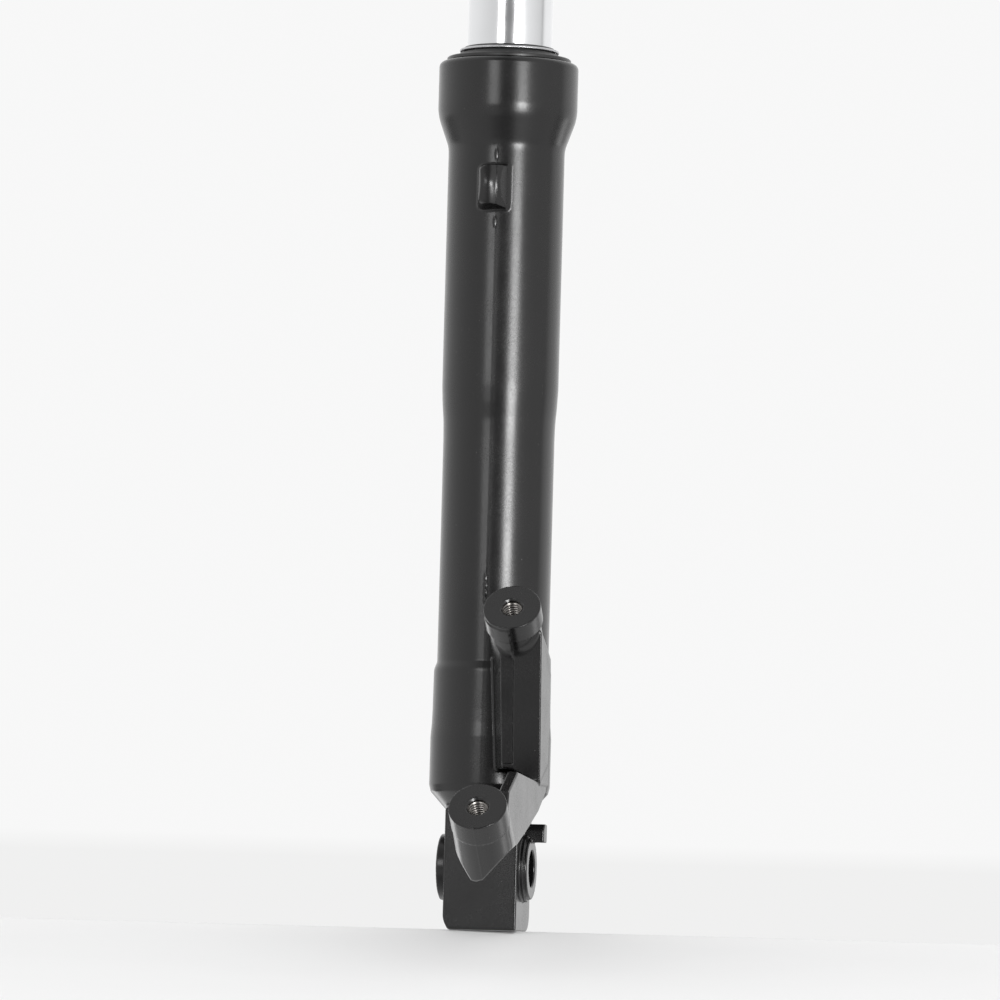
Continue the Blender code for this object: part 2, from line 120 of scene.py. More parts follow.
def boolean(piece, cutter, operation):
    """Cut or join at once, and remove the other shape."""
    modifier = piece.modifiers.new("Boolean", "BOOLEAN")
    modifier.operation = operation
    modifier.object = cutter
    bpy.context.view_layer.update()
    evaluated = piece.evaluated_get(bpy.context.evaluated_depsgraph_get())
    mesh = bpy.data.meshes.new_from_object(evaluated)
    piece.modifiers.clear()
    piece.data = mesh
    bpy.data.objects.remove(cutter)
    piece.data.shade_smooth()
    piece.data.set_sharp_from_angle(angle=radians(38))


def rounded(profile, radius, steps=3):
    """Round the corners of a closed (radius, height) profile, except those on the axis."""
    points = [Vector(p) for p in profile]
    result = []
    for i, corner in enumerate(points):
        before = points[i - 1] - corner
        after = points[(i + 1) % len(points)] - corner
        if corner.x < 0.001:
            result.append(corner)
            continue
        start = corner + before.normalized() * min(radius, 0.45 * before.length)
        end = corner + after.normalized() * min(radius, 0.45 * after.length)
        for k in range(steps + 1):
            t = k / steps
            result.append(start * (1 - t) ** 2 + corner * 2 * t * (1 - t) + end * t ** 2)
    return [(p.x, p.y) for p in result]


def lathe(name, profile, material, radius=0.25, steps=96):
    """Solid of revolution from a closed profile of (radius, height)."""
    outline = rounded(profile, radius) if radius else profile
    count = len(outline)
    turn = np.arange(steps) * tau / steps
    points = [(r * cos(a), r * sin(a), z) for a in turn for r, z in outline]
    faces = []
    for s in range(steps):
        here = s * count
        there = (s + 1) % steps * count
        for i in range(count):
            j = (i + 1) % count
            if outline[i][0] < 0.001 and outline[j][0] < 0.001:
                continue
            faces.append((here + i, there + i, there + j, here + j))
    piece = add_mesh(name, points, faces, material)
    tidy_normals(piece)
    return piece


def ring(name, inner, outer, bottom, top, material, radius=0.3, steps=96):
    return lathe(name, [(outer, top), (outer, bottom), (inner, bottom), (inner, top)],
                 material, radius, steps)


def tube_along(name, path, wire, material, sides=12, closed=False):
    """Round wire along a list of points, with capped ends unless it is closed."""
    path = np.asarray(path, float)
    if closed:
        ahead = np.roll(path, -1, 0) - np.roll(path, 1, 0)
    else:
        ahead = np.gradient(path, axis=0)
    ahead /= np.linalg.norm(ahead, axis=1)[:, None]
    outward = path * (1, 1, 0)
    outward -= ahead * (outward * ahead).sum(1)[:, None]
    outward /= np.linalg.norm(outward, axis=1)[:, None]
    upward = np.cross(ahead, outward)
    turn = np.arange(sides) * tau / sides
    rings = (path[:, None] + wire * (outward[:, None] * np.cos(turn)[:, None]
                                     + upward[:, None] * np.sin(turn)[:, None]))
    faces = []
    count = len(path)
    for i in range(count if closed else count - 1):
        here = i * sides
        there = (i + 1) % count * sides
        for k in range(sides):
            m = (k + 1) % sides
            faces.append((here + k, here + m, there + m, there + k))
    if not closed:
        faces.append(tuple(range(sides - 1, -1, -1)))
        faces.append(tuple(range((count - 1) * sides, count * sides)))
    piece = add_mesh(name, rings.reshape(-1, 3), faces, material)
    tidy_normals(piece, 50)
    return piece


def prism(name, across, bottom, top):
    """Hexagon across its flats, for a spanner or a key."""
    corner = across / 2 / cos(pi / 6)
    points = [(corner * cos(pi / 3 * i), corner * sin(pi / 3 * i), z)
              for z in (bottom, top) for i in range(6)]
    faces = [tuple(range(5, -1, -1)), tuple(range(6, 12))]
    faces += [(i, (i + 1) % 6, 6 + (i + 1) % 6, 6 + i) for i in range(6)]
    return add_mesh(name, points, faces, None)


# Distance fields: negative inside, in millimetres

def join(a, b, fillet):
    """Union with a round fillet."""
    corner = np.sqrt(np.maximum(fillet - a, 0) ** 2 + np.maximum(fillet - b, 0) ** 2)
    return np.maximum(fillet, np.minimum(a, b)) - corner


def meet(a, b, edge):
    """Intersection with a rounded edge."""
    return -join(-a, -b, edge)


def meet_all(fields, edge):
    result = fields[0]
    for field in fields[1:]:
        result = meet(result, field, edge)
    return result


def polygon(px, py, corners):
    """Exact distance to a closed outline, whichever way it runs."""
    nearest = np.inf
    inside = False
    for i, (bx, by) in enumerate(corners):
        ax, ay = corners[i - 1]
        ex, ey = bx - ax, by - ay
        wx, wy = px - ax, py - ay
        along = np.clip((wx * ex + wy * ey) / (ex * ex + ey * ey), 0, 1)
        nearest = np.minimum(nearest, (wx - ex * along) ** 2 + (wy - ey * along) ** 2)
        crosses = (ay > py) != (by > py)
        reach = ax + (py - ay) * ex / np.where(np.abs(ey) < 1e-9, 1e-9, ey)
        inside = inside ^ (crosses & (px < reach))
    return np.where(inside, -1, 1) * np.sqrt(nearest)


def smoothed(corners, width):
    """Radius against height, its corners eased over a width, as (heights, radii, slopes)."""
    heights = np.arange(30.0, 345.0, 0.05)
    radii = np.interp(heights, [z for _, z in corners], [r for r, _ in corners])
    kernel = np.hanning(int(width / 0.05) | 1)
    padded = np.pad(radii, len(kernel) // 2, mode="edge")
    radii = np.convolve(padded, kernel / kernel.sum(), mode="valid")
    return heights, radii, np.gradient(radii, 0.05)


TUBE_PROFILE = [
    (10.0, 39.8), (14.0, 43.8), (16.9, 46.7), (22.7, 53.2), (23.35, 56.0), (23.35, 74.5),
    (22.95, 79.5), (22.80, 85.0), (22.68, 99.8), (22.5, 100.9), (21.55, 103.4), (21.55, 190.0),
    (21.7, 197.0), (22.2, 203.0), (22.55, 210.0), (22.55, 302.0), (22.75, 304.0), (26.45, 314.4),
    (27.05, 318.0), (27.05, 345.0),
]
CRISP = smoothed(TUBE_PROFILE, 1.4)
SOFT = smoothed(TUBE_PROFILE, 5.0)


def tube_field(x, y, z):
    """The tube and its bell, with a faint die parting ridge down its back and front."""
    table = (CRISP, SOFT)
    blend = np.clip((z - 140) / 20, 0, 1)
    radius = sum(w * np.interp(z, t[0], t[1]) for w, t in zip((1 - blend, blend), table))
    slope = sum(w * np.interp(z, t[0], t[2]) for w, t in zip((1 - blend, blend), table))
    fade = np.clip((300 - z) / 30, 0, 1) * np.clip((z - 52) / 10, 0, 1)
    ridge = 0.03 * np.exp(-(x / 0.6) ** 2) * fade
    spur = 0.3 * np.exp(-(x / 0.42) ** 2) * (y < 0)
    spur = spur * (np.exp(-((z - 299.0) / 1.9) ** 2) + np.exp(-((z - 272.8) / 1.6) ** 2)
                   + (1 + 0.6 * np.sin(z * 2.1)) * np.exp(-((z - 131.0) / 5.0) ** 2))
    side = (np.sqrt(x * x + y * y) - radius - ridge - spur) / np.sqrt(1 + slope * slope)
    return meet_all([side, z - SLIDER_TOP, 39.9 - z], 2.2)


def lug_field(x, y, z):
    """Block at the foot with its flanges and the stop tab."""
    front = meet(y - LUG_HALF_DEPTH, -z, 7.0)
    bevel = (-(x + 12.35) * 7.1 - z * 3.65) / np.hypot(7.1, 3.65)
    sides = meet(x - LUG_HALF_WIDTH, -y - LUG_HALF_DEPTH, 0.7)
    block = meet_all([front, sides, -x - LUG_HALF_WIDTH, z - LUG_TOP, bevel], 0.8)
    around = np.sqrt(y * y + (z - AXLE_HEIGHT) ** 2)
    block = join(block, meet(around - 12.9, np.abs(x - 6.2) - 10.0, 0.5), 0.7)
    block = join(block, meet(around - 11.9, np.abs(x - 7.5) - 10.0, 0.5), 0.3)
    block = join(block, meet(around - 12.8, np.abs(x + 8.0) - 10.0, 0.6), 0.7)
    tab = meet_all([np.abs(y) - 3.5, np.abs(z - 38.05) - 3.55, np.abs(x - 17.2) - 5.3,
                    (z - 39.4 - y - 3.5) * 0.6], 0.3)
    return join(block, tab, 0.8)


def hose_boss_field(x, y, z):
    """Stud for the hose clip: a domed face, a bevel on its left and a drafted right side."""
    turn = radians(10.0)
    across = x * cos(turn) + y * sin(turn)
    out = x * sin(turn) - y * cos(turn)
    middle = across + 6.75
    level = z - 287.6
    flash = 0.25 * np.exp(-((middle - 3.5) / 0.4) ** 2)
    button = 0.3 * np.exp(-(middle / 2.6) ** 2 - (level / 2.6) ** 2)
    face = out - 29.2 + middle * middle / 14.4 + level * level / 48.0 - flash - button
    right = (across + 2.9) * 0.82 + (out - 28.6) * 0.572
    bevel = -(across + 9.7) * 0.92 + (out - 28.6) * 0.39
    left = meet(-10.6 - across, bevel, 0.3)
    top = z - 294.3 - 0.1 * (28.6 - out)
    bottom = 279.7 - z - 0.34 * (28.6 - out)
    sides = meet(meet(left, top, 2.6), bottom, 2.6)
    return meet_all([meet(sides, right, 0.7), face, 15.0 - out], 0.3)


def boss_frame(x, y, z, face):
    """Distance from a caliper hole's axis, distance out of its face, and up across it."""
    behind, height = face
    back, up = -y - behind, z - height
    out = back * cos(BOSS_TILT) + up * sin(BOSS_TILT)
    over = up * cos(BOSS_TILT) - back * sin(BOSS_TILT)
    return np.sqrt((x - BOSS_OFFSET) ** 2 + over * over), out, over


def parting(x, height):
    """Small step where the two halves of the die met, on the plane of the caliper."""
    return height * 0.5 * (1 - np.tanh((x - BOSS_OFFSET) / 0.12))


def upper_boss_field(x, y, z):
    around, out, over = boss_frame(x, y, z, UPPER_FACE)
    step = parting(x, 0.6) * (over < -4) * np.clip(-1.0 - out, 0, 1)
    head = meet(meet(around - BOSS_RADIUS - 0.5 * step, out, 0.35), -8.6 - out, 0.5)
    stem = meet(meet(around - 9.8 - step, out + 4.0, 1.0), -47.0 - out, 3.0)
    return join(head, stem, 0.5)


def lower_boss_field(x, y, z):
    around, out, over = boss_frame(x, y, z, LOWER_FACE)
    seam = 0.12 * np.exp(-((x - BOSS_OFFSET) / 0.3) ** 2) * (over < 0)
    head = meet(meet(around - BOSS_RADIUS - 0.5 * seam, out, 0.35), -9.9 - out, 0.35)
    stem = meet(meet(around - 10.6 + 0.013 * out - seam, out + 4.0, 1.0), -34.0 - out, 2.0)
    body = join(head, stem, 0.15)
    keel = [(-2, 60), (-2, 40), (4.6, 29.5), (11, 17.6), (15.8, 16.6), (26.8, 29), (34, 40), (34, 60)]
    drawn = 0.24 * np.maximum(y + 104.0, 0) * np.clip((x - 13.0) / 3.0, 0, 1)
    return meet(body, polygon(x, z - drawn, keel), 0.45)


WEB_EDGE = 0.5                                   # rounding of the rib's long edges
WEB_SIDE = SIDE_FACE - WEB_EDGE
WEB_FOOT = [(18.5, -9.0), (21.0, -8.5), (WEB_SIDE, -24.0), (WEB_SIDE, -41.2), (16.1, -41.6),
            (12.6, -42.2), (5.9, -18.5)]
WEB_HEAD = [(18.5, -9.0), (21.0, -8.5), (WEB_SIDE, -24.0), (WEB_SIDE, -46.1), (16.0, -46.5),
            (11.3, -47.2), (3.1, -18.7)]


def web_field(x, y, z):
    """Rib between the bosses, tapering downwards, with a shallow channel down its back."""
    rise = np.clip((z - 58.0) / 53.0, -0.3, 1.2)
    corners = [(f[0] + (h[0] - f[0]) * rise, f[1] + (h[1] - f[1]) * rise)
               for f, h in zip(WEB_FOOT, WEB_HEAD)]
    result = polygon(x, y, corners) - WEB_EDGE
    crease, edge = corners[4], corners[5]
    back = edge[1] + (x - edge[0]) * (crease[1] - edge[1]) / (crease[0] - edge[0]) - WEB_EDGE
    channel = np.maximum(np.maximum(x - crease[0], y - back - 0.5), 63.4 - z)
    result = meet(result, -channel, 0.35)
    low = np.interp(x, [12.2, 16.3, SIDE_FACE], [61.6, 61.2, 55.8])
    floor = (low - z) / 1.1
    top = z - np.interp(-y, [8.0, 24.0, 46.0], [100.0, 105.0, 114.0])
    return meet(meet(result, floor, 0.6), top * 0.75, 0.8)


ARM_PLATE = [(24.0, 53.4), (40.2, 45.3), (64.0, 37.7), (85.3, 31.5), (99.0, 29.7), (107.0, 36.0),
             (109.0, 44.0), (107.0, 50.6), (88.0, 58.8), (41.0, 56.6), (24.0, 64.0)]


def arm_field(x, y, z):
    """Plate on the wheel side that carries the lower boss, with a thicker root."""
    behind = -y
    plate = meet(polygon(behind, z, ARM_PLATE), np.abs(x - 24.3) - 2.1, 0.7)
    stations = [8.0, 35.0, 64.0, 98.0]
    side = np.interp(behind, stations, [17.0, 23.5, 23.5, 23.5])
    low = np.interp(behind, stations, [43.0, 43.5, 38.5, 31.0])
    high = np.interp(behind, stations, [52.0, 51.0, 48.5, 43.0])
    root = meet_all([8.0 - x, x - side, low - z, z - high, 8.0 - behind, behind - 98.0], 1.2)
    return join(plate, root, 1.5)


def bore_field(x, y, z):
    """Everything that is turned or drilled out of the casting."""
    around = np.sqrt(x * x + y * y)
    steps = [
        (SEAL_SEAT, SEAL_LEDGE, 400.0), (24.5, CLIP_HEIGHT - 1.35, CLIP_HEIGHT + 1.35),
        (18.7, 295.7, 400.0), (18.0, SLIDER_FLOOR, 400.0), (4.3, 30.0, 60.0), (8.2, -50.0, BOLT_SEAT),
    ]
    result = np.inf
    for radius, bottom, top in steps:
        result = np.minimum(result, np.maximum(around - radius, np.maximum(bottom - z, z - top)))
    return result


def casting_field(x, y, z):
    """The whole casting; far parts are skipped, so a block of heights is cheap."""
    lowest, highest = np.min(z), np.max(z)
    field = tube_field(x, y, z)
    if highest > 262 and lowest < 312:
        field = join(field, hose_boss_field(x, y, z), 1.0)
    if lowest < 134:
        field = join(field, lug_field(x, y, z), 2.2)
        bracket = join(web_field(x, y, z), arm_field(x, y, z), 1.2)
        bracket = join(bracket, lower_boss_field(x, y, z), 1.0)
        bracket = join(bracket, upper_boss_field(x, y, z), 1.6)
        field = join(field, bracket, 1.1)
        axle = np.sqrt(y * y + (z - AXLE_HEIGHT) ** 2) - AXLE_BORE + 0.4
        field = meet(field, -axle, 0.6)
        for face in (UPPER_FACE, LOWER_FACE):
            around, out, _ = boss_frame(x, y, z, face)
            hole = np.maximum(around - THREAD_MAJOR - 0.3, np.maximum(-21.6 - out, out + 1.1))
            mouth = np.maximum((around - 4.55 - out) * 0.7071, -2.0 - out)
            field = meet(field, -np.minimum(hole, mouth), 0.08)
    return meet(field, -bore_field(x, y, z), 0.35)


# Meshing a field

def spaced(*stretches):
    """Grid lines from (start, end, step) stretches that follow on from each other."""
    lines = [np.arange(start, end - step / 2, step) for start, end, step in stretches]
    return np.concatenate(lines + [[stretches[-1][1]]])


def sample(field, xs, ys, zs, block=12):
    values = np.empty((len(xs), len(ys), len(zs)), np.float32)
    for start in range(0, len(zs), block):
        levels = zs[start:start + block]
        values[:, :, start:start + block] = field(xs[:, None, None], ys[None, :, None],
                                                  levels[None, None, :])
    return values


def surface_net(values, xs, ys, zs):
    """One vertex for each cell that the surface crosses, one face for each crossed edge."""
    inside = values < 0
    shape = tuple(n - 1 for n in values.shape)
    full = np.zeros(shape, np.uint8)
    for i in (0, 1):
        for j in (0, 1):
            for k in (0, 1):
                full += inside[i:i + shape[0], j:j + shape[1], k:k + shape[2]]
    cells = np.nonzero((full > 0) & (full < 8))
    number = np.full(shape, -1, np.int32)
    number[cells] = np.arange(len(cells[0]))
    return net_points(values, (xs, ys, zs), cells), net_faces(inside, number)


def net_points(values, lines, cells):
    """For each cell, the middle of the places where the surface crosses its edges."""
    total = np.zeros((len(cells[0]), 3))
    hits = np.zeros(len(cells[0]))
    for axis in range(3):
        others = [a for a in range(3) if a != axis]
        for u in (0, 1):
            for v in (0, 1):
                start = [c.copy() for c in cells]
                start[others[0]] += u
                start[others[1]] += v
                end = [c.copy() for c in start]
                end[axis] += 1
                low = values[tuple(start)].astype(float)
                high = values[tuple(end)].astype(float)
                crossed = (low < 0) != (high < 0)
                share = np.where(crossed, low / np.where(crossed, low - high, 1), 0)
                for a in range(3):
                    place = lines[a][start[a]]
                    if a == axis:
                        place = place + share * (lines[a][end[a]] - place)
                    total[:, a] += np.where(crossed, place, 0)
                hits += crossed
    return total / hits[:, None]


def net_faces(inside, number):
    """The four cells round each grid edge that the surface crosses, turned to face outwards."""
    faces = []
    for axis in range(3):
        u, v = (axis + 1) % 3, (axis + 2) % 3
        keep = [slice(1, -1)] * 3
        keep[axis] = slice(None)
        before = [slice(None)] * 3
        after = [slice(None)] * 3
        before[axis], after[axis] = slice(None, -1), slice(1, None)
        low, high = inside[tuple(before)], inside[tuple(after)]
        edge = np.zeros_like(low)
        edge[tuple(keep)] = (low != high)[tuple(keep)]
        at = np.array(np.nonzero(edge))
        outward = low[tuple(at)]
        around = []
        for du, dv in ((1, 1), (0, 1), (0, 0), (1, 0)):
            cell = at.copy()
            cell[u] -= du
            cell[v] -= dv
            around.append(number[tuple(cell)])
        quads = np.stack(around, 1)
        quads[~outward] = quads[~outward][:, ::-1]
        faces.append(quads)
    return np.concatenate(faces)


def gradient(field, points, reach=0.03):
    result = np.empty_like(points)
    for axis in range(3):
        step = np.zeros(3)
        step[axis] = reach
        ahead, back = (points + step).T, (points - step).T
        result[:, axis] = (field(*ahead) - field(*back)) / (2 * reach)
    return result


def settle(field, points, rounds):
    """Move points onto the surface along its gradient."""
    for _ in range(rounds):
        slope = gradient(field, points)
        steep = np.maximum((slope ** 2).sum(1), 0.05)
        move = -slope * (field(*points.T) / steep)[:, None]
        length = np.linalg.norm(move, axis=1)[:, None]
        points = points + move * np.minimum(1, 0.5 / np.maximum(length, 1e-9))
    return points


def relax(points, faces):
    """Pull each vertex halfway to the middle of the faces around it."""
    middle = points[faces].mean(1)
    total = np.zeros_like(points)
    count = np.zeros(len(points))
    for k in range(4):
        for a in range(3):
            total[:, a] += np.bincount(faces[:, k], middle[:, a], len(points))
        count += np.bincount(faces[:, k], minlength=len(points))
    return points * 0.5 + total / np.maximum(count, 1)[:, None] * 0.5


def vertex_places(mesh):
    places = np.empty(len(mesh.vertices) * 3, np.float32)
    mesh.vertices.foreach_get("co", places)
    return places.reshape(-1, 3).astype(float)


def build_casting(material):
    step = 0.5
    xs = spaced((-29.0, 29.0, step))
    ys = spaced((-124.0, 29.0, step))
    zs = spaced((-1.5, 136.0, step), (136.0, 196.0, 2.0), (196.0, 212.0, 1.0), (212.0, 268.0, 2.0),
                (268.0, 340.0, step))
    points, faces = surface_net(sample(casting_field, xs, ys, zs), xs, ys, zs)
    points = settle(casting_field, points, 2)
    for _ in range(2):
        points = settle(casting_field, relax(points, faces), 2)
    piece = add_mesh("slider_casting", points, faces.tolist(), material)
    thin = piece.modifiers.new("Thin", "DECIMATE")
    thin.ratio = min(1.0, 190_000 / (2 * len(faces)))
    evaluated = piece.evaluated_get(bpy.context.evaluated_depsgraph_get())
    mesh = bpy.data.meshes.new_from_object(evaluated)
    piece.modifiers.clear()
    piece.data = mesh
    finish_casting(mesh)
    return piece


def finish_casting(mesh):
    """Exact normals, and how sharply the surface bends outwards, for the worn edges."""
    places = vertex_places(mesh)
    places[:, 2] -= FOOT
    places /= MM
    normals = gradient(casting_field, places)
    normals /= np.maximum(np.linalg.norm(normals, axis=1), 1e-6)[:, None]
    reach = 0.25
    bend = -2 * casting_field(*places.T)
    bend = bend * 3
    for axis in range(3):
        step = np.zeros(3)
        step[axis] = reach
        bend += casting_field(*(places + step).T) + casting_field(*(places - step).T)
    bend /= reach * reach
    edge = mesh.attributes.new("edge", "FLOAT", "POINT")
    edge.data.foreach_set("value", np.clip(bend, -4, 4).astype(np.float32))
    mesh.shade_smooth()
    mesh.normals_split_custom_set_from_vertices(normals.tolist())


def build_thread(name, face, material):
    """Sleeve with a real M8 thread inside, in a caliper boss."""
    depth = 20.5
    around, rows = 48, 16
    count = int(depth / THREAD_PITCH * rows)
    turn = np.arange(around) / around
    down = np.arange(count + 1) / rows
    phase = (down[:, None] + turn[None, :]) % 1.0
    depth_in = np.clip(np.abs(phase - 0.5) * 3.2 - 0.4, 0, 1)
    radius = THREAD_MINOR + (THREAD_MAJOR - THREAD_MINOR) * depth_in
    fade = np.clip(down[:, None] * 0.8, 0, 1)
    radius = radius * fade + 3.75 * (1 - fade)
    out = -0.9 - down * THREAD_PITCH
    inner = [(radius[i, j], turn[j], out[i]) for i in range(count + 1) for j in range(around)]
    outer = [(THREAD_MAJOR + 0.25, turn[j], out[i]) for i in (0, count) for j in range(around)]
    behind, height = face
    points = []
    for r, share, reach in inner + outer:
        side, over = r * cos(tau * share), r * sin(tau * share)
        back = behind + reach * cos(BOSS_TILT) - over * sin(BOSS_TILT)
        up = height + reach * sin(BOSS_TILT) + over * cos(BOSS_TILT)
        points.append((BOSS_OFFSET + side, -back, up))
    faces = []
    first, last = len(inner), len(inner) + around
    for j in range(around):
        k = (j + 1) % around
        for i in range(count):
            faces.append((i * around + j, i * around + k, (i + 1) * around + k, (i + 1) * around + j))
        faces.append((first + j, first + k, k, j))
        faces.append((count * around + j, count * around + k, last + k, last + j))
        faces.append((last + j, last + k, first + k, first + j))
    piece = add_mesh(name, points, faces, material)
    tidy_normals(piece, 35)
    return piece


# Materials

class Shader:
    """A material's nodes, added one at a time and linked by name."""

    def __init__(self, name, colour, roughness, metallic=0.0):
        self.material = bpy.data.materials.new(name)
        self.material.use_nodes = True
        self.tree = self.material.node_tree
        self.surface = self.tree.nodes["Principled BSDF"]
        self.surface.inputs["Base Color"].default_value = (*colour, 1.0)
        self.surface.inputs["Roughness"].default_value = roughness
        self.surface.inputs["Metallic"].default_value = metallic
        self.place = self.tree.nodes.new("ShaderNodeTexCoord").outputs["Object"]

    def node(self, kind, **settings):
        node = self.tree.nodes.new(kind)
        for key, value in settings.items():
            setattr(node, key, value)
        return node

    def link(self, output, node, socket):
        self.tree.links.new(output, node.inputs[socket])

    def noise(self, size_mm, detail=2.0, stretch=(1, 1, 1), rough=0.5):
        """Noise whose grains are about size_mm across."""
        mapping = self.node("ShaderNodeMapping")
        mapping.inputs["Scale"].default_value = stretch
        self.link(self.place, mapping, "Vector")
        noise = self.node("ShaderNodeTexNoise")
        noise.inputs["Scale"].default_value = 1.0 / (size_mm * MM)
        noise.inputs["Detail"].default_value = detail
        noise.inputs["Roughness"].default_value = rough
        self.link(mapping.outputs["Vector"], noise, "Vector")
        return noise.outputs["Fac"]

    def spread(self, value, low, high, new_low, new_high):
        node = self.node("ShaderNodeMapRange")
        for socket, number in (("From Min", low), ("From Max", high),
                               ("To Min", new_low), ("To Max", new_high)):
            node.inputs[socket].default_value = number
        self.link(value, node, "Value")
        return node.outputs["Result"]

    def multiply(self, a, b):
        node = self.node("ShaderNodeMath", operation="MULTIPLY")
        self.link(a, node, 0)
        self.link(b, node, 1)
        return node.outputs["Value"]

    def add(self, a, b):
        node = self.node("ShaderNodeMath", operation="ADD")
        self.link(a, node, 0)
        self.link(b, node, 1)
        return node.outputs["Value"]

    def mix(self, share, first, second):
        node = self.node("ShaderNodeMix", data_type="RGBA")
        self.link(share, node, "Factor")
        for socket, colour in ((6, first), (7, second)):
            node.inputs[socket].default_value = (*colour, 1.0)
        return node.outputs[2]

    def bump(self, *layers):
        """Each layer is (height output, height in millimetres)."""
        normal = None
        for height, size_mm in layers:
            node = self.node("ShaderNodeBump")
            node.inputs["Strength"].default_value = 1.0
            node.inputs["Distance"].default_value = size_mm * MM
            self.link(height, node, "Height")
            if normal:
                self.link(normal, node, "Normal")
            normal = node.outputs["Normal"]
        self.link(normal, self.surface, "Normal")


def paint():
    """Satin black powder coat: fine orange peel, dust, and bare specks on sharp edges."""
    shader = Shader("black_paint", (0.006, 0.006, 0.006), 0.27)
    surface = shader.surface
    broad = shader.noise(14, 2)
    fine = shader.noise(0.9, 3)
    edge = shader.node("ShaderNodeAttribute", attribute_name="edge").outputs["Fac"]
    worn = shader.spread(edge, 1.6, 3.2, 0, 1)
    specks = shader.spread(shader.noise(1.6, 3), 0.69, 0.73, 0, 1)
    dust = shader.spread(shader.noise(0.8, 1), 0.80, 0.83, 0, 0.35)
    bare = shader.multiply(worn, specks)
    tint = shader.node("ShaderNodeMix", data_type="RGBA")
    shader.link(bare, tint, "Factor")
    shader.link(shader.mix(broad, (0.0028, 0.0027, 0.0028), (0.0046, 0.0043, 0.0045)), tint, 6)
    tint.inputs[7].default_value = (0.42, 0.42, 0.43, 1)
    dusty = shader.node("ShaderNodeMix", data_type="RGBA")
    shader.link(dust, dusty, "Factor")
    shader.link(tint.outputs[2], dusty, 6)
    dusty.inputs[7].default_value = (0.30, 0.29, 0.28, 1)
    shader.link(dusty.outputs[2], surface, "Base Color")
    shader.link(bare, surface, "Metallic")
    shader.link(shader.add(shader.spread(broad, 0.3, 0.7, 0.225, 0.265),
                           shader.spread(fine, 0.3, 0.7, -0.02, 0.03)), surface, "Roughness")
    shader.bump((shader.noise(2.2, 2), 0.010), (shader.noise(0.55, 2), 0.006))
    surface.inputs["Specular IOR Level"].default_value = 0.5
    return shader.material


def polished(name, colour, roughness, grain):
    """Chrome: almost a mirror, with the faint grinding marks that run round the tube."""
    shader = Shader(name, colour, roughness, 1.0)
    marks = shader.noise(grain, 3, (0.12, 0.12, 3.0))
    cloud = shader.noise(16, 3)
    shader.link(shader.add(shader.spread(marks, 0.3, 0.7, 0.0, 0.03),
                           shader.spread(cloud, 0.35, 0.7, roughness - 0.02, roughness + 0.03)),
                shader.surface, "Roughness")
    tone = [tuple(c * k for c in colour) for k in (0.94, 1.03)]
    shader.link(shader.mix(cloud, *tone), shader.surface, "Base Color")
    shader.bump((marks, 0.0006))
    return shader.material


def machined(name, colour, roughness, metallic=1.0, grooves=0.35, height=0.004):
    """Turned metal: grooves at one height all round, and a slightly uneven sheen."""
    shader = Shader(name, colour, roughness, metallic)
    rings = shader.noise(grooves, 2, (0.05, 0.05, 1.0))
    cloud = shader.noise(9, 3)
    shader.link(shader.add(shader.spread(rings, 0.3, 0.7, -0.05, 0.05),
                           shader.spread(cloud, 0.3, 0.7, roughness - 0.05, roughness + 0.06)),
                shader.surface, "Roughness")
    tone = [tuple(c * k for c in colour) for k in (0.86, 1.08)]
    shader.link(shader.mix(cloud, *tone), shader.surface, "Base Color")
    shader.bump((rings, height))
    return shader.material


def moulded(name, colour, roughness, grain, height):
    """Rubber or plastic: a fine matt grain with a little bloom."""
    shader = Shader(name, colour, roughness)
    fine = shader.noise(grain, 3)
    bloom = shader.noise(6, 3)
    tone = [tuple(c * k for c in colour) for k in (0.8, 1.35)]
    shader.link(shader.mix(bloom, *tone), shader.surface, "Base Color")
    shader.link(shader.spread(bloom, 0.3, 0.7, roughness - 0.06, roughness + 0.08),
                shader.surface, "Roughness")
    shader.bump((fine, height))
    return shader.material


PAINT = paint()
CHROME = polished("chrome", (0.72, 0.725, 0.735), 0.15, 0.5)
STEEL = machined("steel", (0.50, 0.50, 0.51), 0.28)
SPRING_STEEL = moulded("spring_steel", (0.09, 0.09, 0.10), 0.38, 0.35, 0.006)
SPRING_STEEL.node_tree.nodes["Principled BSDF"].inputs["Metallic"].default_value = 0.9
ALUMINIUM = machined("aluminium", (0.66, 0.67, 0.68), 0.30)
# Bare aluminium of the tapped holes, far darker than the turned aluminium: painted shade of the
# holes.
HOLE_SHADED_ALUMINIUM = machined("thread_aluminium_painted_shade", (0.20, 0.19, 0.18), 0.24, grooves=0.8, height=0.001)
RUBBER = moulded("rubber", (0.011, 0.011, 0.011), 0.36, 0.4, 0.006)
BRONZE = machined("bronze", (0.46, 0.31, 0.15), 0.36)
COPPER = machined("copper", (0.70, 0.31, 0.19), 0.32)
NYLON = moulded("nylon", (0.70, 0.67, 0.58), 0.45, 0.5, 0.004)


# Pieces, body by body

def stands_for(piece, body, node):
    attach(piece, body)
    if node:
        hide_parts(node)


